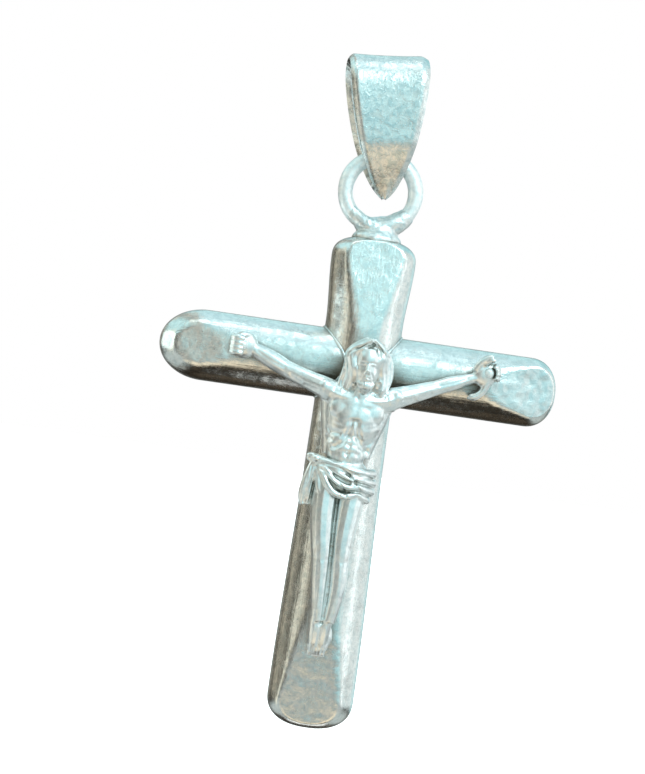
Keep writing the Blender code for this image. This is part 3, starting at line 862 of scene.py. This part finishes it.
def cloth():
    return [
        ball((-0.42, -3.75, -7.95), (2.08, 1.15, 1.25)),
        ball((0.1, -4.22, -7.8), (1.4, 0.7, 1.0)),
        strand((-2.3, -4.1, -6.62, 0.26), (-1.6, -4.65, -6.85, 0.3), (-0.6, -4.95, -7.08, 0.3),
               (0.5, -4.9, -7.22, 0.3), (1.3, -4.5, -7.25, 0.34), (1.7, -3.8, -7.2, 0.36)),
        strand((0.1, -4.95, -7.5, 0.12), (0.8, -4.85, -7.75, 0.24), (1.4, -4.5, -7.85, 0.32),
               (1.75, -3.8, -7.85, 0.36)),
        strand((0.2, -4.95, -8.0, 0.12), (0.85, -4.85, -8.3, 0.24), (1.4, -4.5, -8.45, 0.32),
               (1.7, -3.8, -8.45, 0.36)),
        strand((0.6, -4.7, -8.65, 0.14), (1.1, -4.6, -8.95, 0.26), (1.5, -4.1, -9.1, 0.28),
               (1.55, -3.6, -9.1, 0.26)),
        strand((-2.15, -4.25, -6.85, 0.2), (-1.75, -4.75, -7.8, 0.22), (-1.25, -4.95, -8.6, 0.22),
               (-0.55, -4.95, -9.1, 0.24), (0.2, -4.85, -8.95, 0.24), (0.7, -4.7, -8.7, 0.18)),
        strand((-2.05, -4.35, -6.8, 0.18), (-1.45, -4.9, -7.6, 0.19), (-0.8, -5.05, -8.15, 0.2),
               (0.0, -5.0, -8.4, 0.2), (0.6, -4.85, -8.3, 0.16)),
        strand((-1.95, -4.4, -6.78, 0.16), (-1.1, -4.95, -7.35, 0.17), (-0.3, -5.1, -7.7, 0.18),
               (0.45, -5.0, -7.8, 0.14)),
        strand((-2.1, -4.1, -7.2, 0.26), (-2.1, -4.35, -8.1, 0.28), (-1.95, -4.4, -9.0, 0.26),
               (-1.5, -4.55, -9.35, 0.2)),
        ball((-2.35, -4.15, -6.65), (0.4, 0.38, 0.3), (0, 20, 0)),
        strand((-2.3, -4.2, -6.7, 0.22), (-2.75, -4.15, -6.35, 0.2), (-3.0, -4.0, -6.55, 0.2),
               (-2.8, -3.95, -6.85, 0.18), (-2.4, -4.05, -6.75, 0.2)),
        strand((-2.5, -4.1, -6.8, 0.2), (-2.75, -4.0, -7.6, 0.25), (-2.95, -3.9, -8.6, 0.3),
               (-3.0, -3.8, -9.5, 0.28), (-2.85, -3.7, -9.95, 0.18)),
        strand((-2.4, -4.2, -6.9, 0.16), (-2.55, -4.15, -7.7, 0.2), (-2.65, -4.0, -8.7, 0.26),
               (-2.6, -3.8, -9.55, 0.26), (-2.45, -3.7, -9.9, 0.16)),
    ]


# %% Legs and feet


def legs():
    left = [(-1.35, -3.8, -8.2, 0.95), (-1.42, -3.95, -9.8, 0.92), (-1.27, -4.0, -11.5, 0.84),
            (-1.07, -4.06, -12.9, 0.74), (-0.96, -4.0, -13.9, 0.68), (-0.88, -3.95, -15.1, 0.66),
            (-0.74, -3.9, -16.6, 0.54), (-0.68, -3.82, -17.8, 0.48)]
    right = [(0.5, -3.8, -8.2, 1.0), (0.36, -3.95, -9.8, 0.96), (0.22, -4.0, -11.4, 0.88),
             (0.22, -4.06, -12.8, 0.76), (0.28, -4.0, -13.8, 0.66), (0.4, -3.95, -15.0, 0.66),
             (0.34, -3.9, -16.3, 0.56), (0.12, -3.82, -17.8, 0.46)]
    forms = [
        strand(*left), strand(*right),
        ball((-1.07, -4.4, -12.95), (0.46, 0.34, 0.85)),
        ball((0.24, -4.4, -12.85), (0.46, 0.34, 0.85)),
        strand((-0.78, -3.8, -17.6, 0.44), (-0.74, -3.75, -18.4, 0.46), (-0.68, -3.55, -19.2, 0.44),
               (-0.64, -3.3, -19.9, 0.36)),
        strand((0.0, -3.8, -17.6, 0.44), (-0.1, -3.7, -18.4, 0.46), (-0.2, -3.5, -19.2, 0.44),
               (-0.1, -3.2, -19.9, 0.36)),
        ball((-0.36, -3.4, -19.3), (0.8, 0.36, 0.85)),
        ball((0.22, -3.3, -18.7), (0.36, 0.4, 0.8), (0, -8, 0)),
    ]
    forms.append(strand((-0.85, -3.2, -20.0, 0.28), (-0.35, -3.3, -20.05, 0.3), (0.1, -3.2, -20.0, 0.28)))
    for i in range(5):
        x = -0.9 + 0.25 * i
        forms.append(strand((x, -3.3, -19.6, 0.17), (x, -3.34, -20.0, 0.16), (x, -3.25, -20.24, 0.14)))
    return forms


# %% [markdown]
# A stroke presses a rounded groove of a width and a depth into the front of the skin along a line, or raises
# a ridge when the depth is negative. Strokes are added up on the untouched skin, which is moved once.

# %% Strokes of the wax tool


class Strokes:
    def __init__(self, obj):
        self.obj = obj
        self.points = read_points(obj)
        self.normals = read_points(obj, "normal")
        self.move = np.zeros(len(self.points))

    def draw(self, line, width, depth):
        """line is a list of (x, z); only skin that faces the front is touched."""
        line = np.array(line, float)
        low, high = line.min(axis=0) - 3 * width, line.max(axis=0) + 3 * width
        x, z = self.points[:, 0], self.points[:, 2]
        near = (x > low[0]) & (x < high[0]) & (z > low[1]) & (z < high[1]) & (self.normals[:, 1] < -0.05)
        spots = self.points[near][:, [0, 2]]
        closest = np.full(len(spots), 1e9)
        for a, b in zip(line, line[1:]):
            run = b - a
            share = np.clip(((spots - a) @ run) / (run @ run), 0, 1)
            closest = np.minimum(closest, np.linalg.norm(spots - (a + share[:, None] * run), axis=1))
        self.move[near] -= depth * np.exp(-((closest / width) ** 2))

    def bow(self, start_at, end_at, sag, width, depth, count=10):
        """A line between two points (x, z) that bows sideways by a share of its length."""
        a, b = np.array(start_at, float), np.array(end_at, float)
        square = np.array([-(b - a)[1], (b - a)[0]])
        line = [tuple(a + (b - a) * t + square * sag * 4 * t * (1 - t)) for t in np.linspace(0, 1, count)]
        self.draw(line, width, depth)

    def wave(self, points, swing, turns, width, depth):
        """A line through points with a wave laid over it, for a strand of hair."""
        points = np.array(points, float)
        steps = np.concatenate([[0], np.cumsum(np.linalg.norm(np.diff(points, axis=0), axis=1))])
        even = np.linspace(0, steps[-1], 36)
        x, z = np.interp(even, steps, points[:, 0]), np.interp(even, steps, points[:, 1])
        self.draw(list(zip(x + swing * np.sin(2 * math.pi * turns * even / steps[-1]), z)), width, depth)

    def press(self):
        self.points += self.normals * self.move[:, None]
        write_points(self.obj, self.points)


# %% Draw the body's lines


def chest_lines(tool):
    tool.bow((-0.05, -2.4), (-0.12, -3.6), 0.0, 0.2, 0.03)
    tool.bow((-1.85, -3.5), (-0.15, -3.75), -0.16, 0.2, 0.03)
    tool.bow((1.65, -3.55), (-0.1, -3.75), 0.16, 0.2, 0.03)
    tool.bow((-0.32, -3.8), (-1.35, -5.7), 0.14, 0.18, 0.16)
    tool.bow((0.08, -3.8), (1.0, -5.7), -0.14, 0.18, 0.16)
    for i in range(3):
        z = -4.1 - 0.55 * i
        tool.bow((-0.95 - 0.16 * i, z - 0.1), (-1.85, z + 0.22), 0.08, 0.13, 0.035)
        tool.bow((0.65 + 0.12 * i, z - 0.1), (1.6 - 0.1 * i, z + 0.22), -0.08, 0.13, 0.025)
    tool.bow((-0.2, -4.6), (-0.42, -6.5), 0.03, 0.16, 0.05)
    for i in range(3):
        z = -4.9 - 0.55 * i
        tool.bow((-0.95 - 0.05 * i, z - 0.05), (-0.3, z), 0.12, 0.14, 0.04)
        tool.bow((0.4, z - 0.05), (-0.3, z), -0.12, 0.14, 0.04)
    tool.bow((-1.15, -5.2), (-1.1, -6.6), -0.06, 0.18, 0.05)
    tool.bow((0.55, -5.2), (0.3, -6.7), 0.06, 0.18, 0.05)
    tool.draw([(-0.4, -6.05), (-0.4, -6.15)], 0.12, 0.1)


def limb_lines(tool):
    tool.bow((-0.35, -2.15), (-1.9, -1.95), 0.06, 0.1, -0.04)
    tool.bow((0.5, -2.2), (2.1, -2.0), -0.06, 0.1, -0.04)
    tool.bow((-3.0, -1.95), (-4.9, -1.2), 0.05, 0.12, 0.05)
    tool.bow((3.1, -1.85), (5.0, -1.1), -0.05, 0.12, 0.05)
    tool.bow((-5.4, -0.75), (-7.4, 0.1), 0.03, 0.1, 0.04)
    tool.bow((5.5, -0.5), (7.4, 0.3), -0.03, 0.1, 0.04)
    for x in (-1.03, 0.3):
        tool.bow((x - 0.48, -12.5), (x - 0.4, -13.5), -0.2, 0.14, 0.02)
        tool.bow((x + 0.48, -12.5), (x + 0.4, -13.5), 0.2, 0.14, 0.02)
        tool.bow((x, -13.8), (x + 0.15, -17.0), 0.02, 0.14, -0.04)
    tool.bow((-0.52, -9.0), (-0.34, -17.9), 0.0, 0.1, 0.1, 20)
    for i in range(4):
        tool.bow((-0.775 + 0.25 * i, -19.65), (-0.775 + 0.25 * i, -20.3), 0.0, 0.05, 0.035)
    for x in (-0.9, -0.62, -0.3, 0.0):
        tool.bow((x * 0.9, -18.2), (x, -19.4), 0.03, 0.06, -0.03)


def cloth_lines(tool):
    tool.bow((-2.1, -7.0), (0.9, -8.45), 0.14, 0.08, 0.06, 16)
    tool.bow((-2.0, -6.95), (0.6, -8.0), 0.12, 0.08, 0.06, 16)
    tool.bow((-2.1, -7.3), (0.0, -9.0), 0.12, 0.08, 0.06, 16)
    tool.bow((-1.9, -6.9), (0.7, -7.55), 0.06, 0.08, 0.06, 16)
    for i in range(3):
        tool.bow((-2.6 + 0.18 * i, -7.2), (-2.85 + 0.2 * i, -9.8), 0.02, 0.05, 0.07)
    for i in range(3):
        z = -7.55 - 0.6 * i
        tool.bow((0.35, z + 0.15), (1.75, z), 0.06, 0.07, 0.09)


def hair_lines(tool):
    for side in (-1, 1):
        for i in range(8):
            off = 0.15 * i
            path = [(0.05, 1.98 - off * 0.5), (0.45 + off * 0.5, 1.7 - off * 0.4), (0.72 + off * 0.75, 0.9),
                    (0.8 + off * 0.75, -0.2), (0.72 + off * 0.8, -1.0), (0.8 + off * 0.6, -1.9)]
            tool.wave([mid(side * out, z) for out, z in path], 0.08, 3.2, 0.055, 0.06)
    for i in range(-2, 3):
        x = HEAD_X + 0.17 * i
        path = [(x, -0.98), (x * 0.9 + 0.02, -1.3), (HEAD_X + 0.1 * i + 0.03, -1.8)]
        tool.wave(path, 0.03, 1.5, 0.05, 0.05)


def face_lines(tool):
    for side in (-1, 1):
        tool.bow(mid(side * 0.16, 0.2), mid(side * 0.5, 0.18), -0.12 * side, 0.035, 0.035)
        tool.bow(mid(side * 0.12, 0.34), mid(side * 0.52, 0.34), 0.14 * side, 0.05, 0.05)
        tool.bow(mid(side * 0.24, -0.3), mid(side * 0.42, -0.62), 0.05 * side, 0.05, 0.04)
    tool.bow(mid(-0.18, -0.7), mid(0.18, -0.7), 0.05, 0.03, 0.05)


# %% Cast the figure
FIGURE_VOXEL, FIGURE_TRIANGLES = 0.056, 185000


def figure():
    start()
    obj = one_skin(trunk() + arms() + hands() + head() + hair() + cloth() + legs(), FIGURE_VOXEL, smoothing=8)
    tool = Strokes(obj)
    for draw_lines in (chest_lines, limb_lines, cloth_lines, hair_lines, face_lines):
        draw_lines(tool)
    tool.press()
    modify(obj, "SMOOTH", factor=0.5, iterations=2)
    count = sum(len(polygon.vertices) - 2 for polygon in obj.data.polygons)
    modify(obj, "DECIMATE", ratio=min(1.0, FIGURE_TRIANGLES / count))
    return obj


to_place(figure(), "figure", "cross", ["corpus"], "cast_silver", FINISHES["cast"])

# %% [markdown]
# ## The nails
# Three small nails hold the figure. Each is a sphere flattened into a domed head, with the middle of its back
# drawn out into a shank that goes through the figure into the tube.

# %% Nails
DOME_HEIGHT, UNDERSIDE, SHANK_RADIUS = 0.28, 0.12, 0.352
HEAD_SHARE = 0.8  # the visible head is a little smaller than the CAD one


def nail(node):
    low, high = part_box(node)
    radius = HEAD_SHARE * (high[0] - low[0]) / MM / 2
    x, _, z = from_crossing(middle(node))
    front, back = reach(node, 1, 0), reach(node, 1, 1)
    start()
    bpy.ops.mesh.primitive_uv_sphere_add(segments=32, ring_count=20, radius=radius,
                                         rotation=(math.radians(90), 0, 0))
    obj = bpy.context.object
    bpy.ops.object.transform_apply(rotation=True)
    points = read_points(obj)
    behind = points[:, 1] >= 0
    shank = behind & (np.hypot(points[:, 0], points[:, 2]) < SHANK_RADIUS)
    drawn_out = (back - front - 0.5) * ease(np.clip(points[:, 1] / radius, 0, 1) * 1.2)
    points[:, 1] *= np.where(behind, UNDERSIDE, DOME_HEIGHT) / radius
    points[shank, 1] += drawn_out[shank]
    points += np.array([x, front + DOME_HEIGHT, z])
    write_points(obj, points)
    bpy.ops.object.shade_smooth()
    return obj


for node in ("left_hand_nail", "right_hand_nail", "feet_nail"):
    to_place(nail(node), node.replace("_nail", "_pin"), "cross", [node], "cast_silver", FINISHES["wire"])

# %% [markdown]
# ## Light and camera
# The floor and the backdrop are plain and pale. The floor gives off light of its own, so that it is as white
# as the backdrop, and silver doesn't show it.

# %% Floor
FLOOR_SIZE, FLOOR_DROP = 3.0, 18 * MM
start()
bpy.ops.mesh.primitive_plane_add(size=FLOOR_SIZE, location=(0, 0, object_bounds()[0][2] - FLOOR_DROP))
floor = bpy.context.object
floor.name = "floor"
floor.visible_glossy = False
floor_finish = bpy.data.materials.new("pale_floor")
floor_finish.use_nodes = True
floor_shader = floor_finish.node_tree.nodes["Principled BSDF"]
for name, value in {"Base Color": (0.93, 0.93, 0.93, 1), "Roughness": 0.9, "Emission Color": (1, 1, 1, 1),
                    "Emission Strength": 1.0}.items():
    floor_shader.inputs[name].default_value = value
floor.data.materials.append(floor_finish)

# %% [markdown]
# Silver shows mostly what is around it. A cool sky fills the front and top, a bright wall is on the right
# and a dark cluttered room on the left. Below, a grey edge gives way to warm wood and then to shadow. They
# are layers, each laid over those before it where a view points far enough one way:
# `to_left.within(0.34, 0.54)` grows from 0 to 1 there. The camera itself sees only white.

# %% The surroundings
world = bpy.data.worlds.new("studio")
bpy.context.scene.world = world
world.use_nodes = True
room = Finish(world.node_tree)
direction = room.add("TexCoord", out=0)
to_right, to_back, to_sky = [room.add("SeparateXYZ", {0: direction}, out=i) for i in range(3)]
to_left, to_floor = to_right * -1, to_sky * -1
clutter = room.noise(direction, 3.2, 4.0, 0.55, 0.6)
blinds = room.noise(direction, 9.0, 3.0, 0.5)

cool = room.mix(clutter.within(0.38, 0.64), (0.4, 0.72, 0.76), (0.7, 0.98, 0.99))
sky = room.mix(to_sky.within(0.55, 0.95), cool, (0.64, 0.86, 0.9))
wall = room.mix(blinds.within(0.4, 0.56), (0.54, 0.62, 0.61), (0.97, 0.99, 0.97))
bright_side = room.mix(to_right.within(0.55, 0.78), sky, wall)
cream = room.mix(blinds.within(0.42, 0.62), (0.26, 0.24, 0.24), (0.96, 0.89, 0.72))
near_left = room.mix(to_left.within(0.1, 0.24), bright_side, cream)
gloom = room.mix(clutter.within(0.46, 0.66), (0.022, 0.018, 0.014), (0.7, 0.62, 0.48))
dark_side = room.mix(to_left.within(0.34, 0.54), near_left, gloom)
grey = room.mix(blinds.within(0.4, 0.6), (0.22, 0.23, 0.24), (0.4, 0.42, 0.41))
off_level = to_sky.within(0.2, 0.42)
dark_side = room.mix(to_left.within(0.34, 0.54) * off_level, dark_side, (0.66, 0.93, 0.93))
edge = room.mix(to_floor.within(0.17, 0.27), dark_side, grey)
wood = room.mix(clutter.within(0.34, 0.52), (0.8, 0.62, 0.46), (1.0, 0.85, 0.63))
table = room.mix(to_floor.within(0.34, 0.46), edge, wood)
under = room.mix(clutter.within(0.5, 0.72), (0.022, 0.017, 0.012), (0.26, 0.19, 0.13))
shadow = room.mix(to_floor.within(0.7, 0.84), table, under)
lower_back = room.mix(to_back.within(-0.15, 0.25) * to_floor.within(0.1, 0.3), shadow, under)
low_sides = (to_right * to_right).within(0.08, 0.25) * to_floor.within(0.25, 0.45)
lower_back = room.mix(low_sides, lower_back, (0.52, 0.56, 0.54))
shade_edge = to_left.within(0.84, 0.89) * (1 - to_left.within(0.965, 0.985)) * (1 - to_back.within(0.0, 0.4))
lampshade = room.mix(shade_edge * 0.9, lower_back, (1.0, 0.93, 0.76))
outside = room.mix(to_back.within(0.86, 0.97), lampshade, (0.2, 0.21, 0.2))
seen_by_camera = room.add("LightPath", out=0)
background = world.node_tree.nodes["Background"]
room.feed(background.inputs["Color"], room.mix(seen_by_camera, outside, (1.0, 1.0, 1.0)))
background.inputs["Strength"].default_value = 1.0

# %% Lamps


def lamp(name, away, target, size, power, colour):
    """A rectangular lamp some way from a target, which it faces."""
    place = target + Vector(away)
    start()
    bpy.ops.object.light_add(type="AREA", location=place)
    light = bpy.context.object
    light.name = name
    light.rotation_euler = (target - place).to_track_quat("-Z", "Y").to_euler()
    light.data.shape = "RECTANGLE"
    light.data.size, light.data.size_y = size
    light.data.energy = power
    light.data.color = colour
    light.visible_camera = False


centre = CROSSING + Vector((0, 0, -8 * MM))
lamp("window", (0.14, -0.21, 0.2), centre, (0.16, 0.16), 0.29, (0.93, 1.0, 1.0))
lamp("side_card", (0.28, -0.08, 0.03), centre, (0.05, 0.2), 0.03, (1.0, 1.0, 1.0))
lamp("overhead", (-0.05, -0.05, 0.3), centre, (0.12, 0.12), 0.07, (0.95, 1.0, 1.0))

# %% [markdown]
# A small white card stands beside the left arm's end and another lies under the foot, where those ends would
# reflect the dark part of the room. They are too small to show in anything else.

# %% Cards
left_tip = CROSSING + Vector((-ENDS["left"]["reach"] * MM, 0, 0))
foot_tip = CROSSING + Vector((0, 0, -ENDS["bottom"]["reach"] * MM))
lamp("left_card", (-0.009, 0, 0), left_tip, (0.016, 0.007), 0.00036, (0.85, 1.0, 1.0))
lamp("foot_card", (0, 0, -0.008), foot_tip, (0.009, 0.009), 0.00025, (1.0, 0.98, 0.94))

# %% Camera
AZIMUTH, ROLL = math.radians(-5), math.radians(8.25)
DISTANCE = 0.24
FRAME_HEIGHT = 54.5 * MM  # what the camera's view covers, top to bottom, at the pendant
AIM_RIGHT, AIM_UP = -2.5 * MM, -1.38 * MM  # where the camera aims, from the crossing
SENSOR = 36

outward = Vector((math.sin(AZIMUTH), -math.cos(AZIMUTH), 0))
right = outward.cross(Vector((0, 0, 1))).normalized() * -1
upward = outward.cross(right)
tilted_right = right * math.cos(ROLL) + upward * math.sin(ROLL)
tilted_up = upward * math.cos(ROLL) - right * math.sin(ROLL)
place = CROSSING + tilted_right * AIM_RIGHT + tilted_up * AIM_UP + outward * DISTANCE
start()
bpy.ops.object.camera_add(location=place)
camera = bpy.context.object
turned = Matrix((tilted_right, tilted_up, outward)).transposed().to_4x4()
camera.matrix_world = Matrix.Translation(place) @ turned
camera.data.sensor_width = SENSOR
camera.data.lens = SENSOR * DISTANCE / FRAME_HEIGHT
camera.data.clip_start = 0.01
bpy.context.scene.camera = camera
bpy.context.scene.view_settings.view_transform = "Standard"
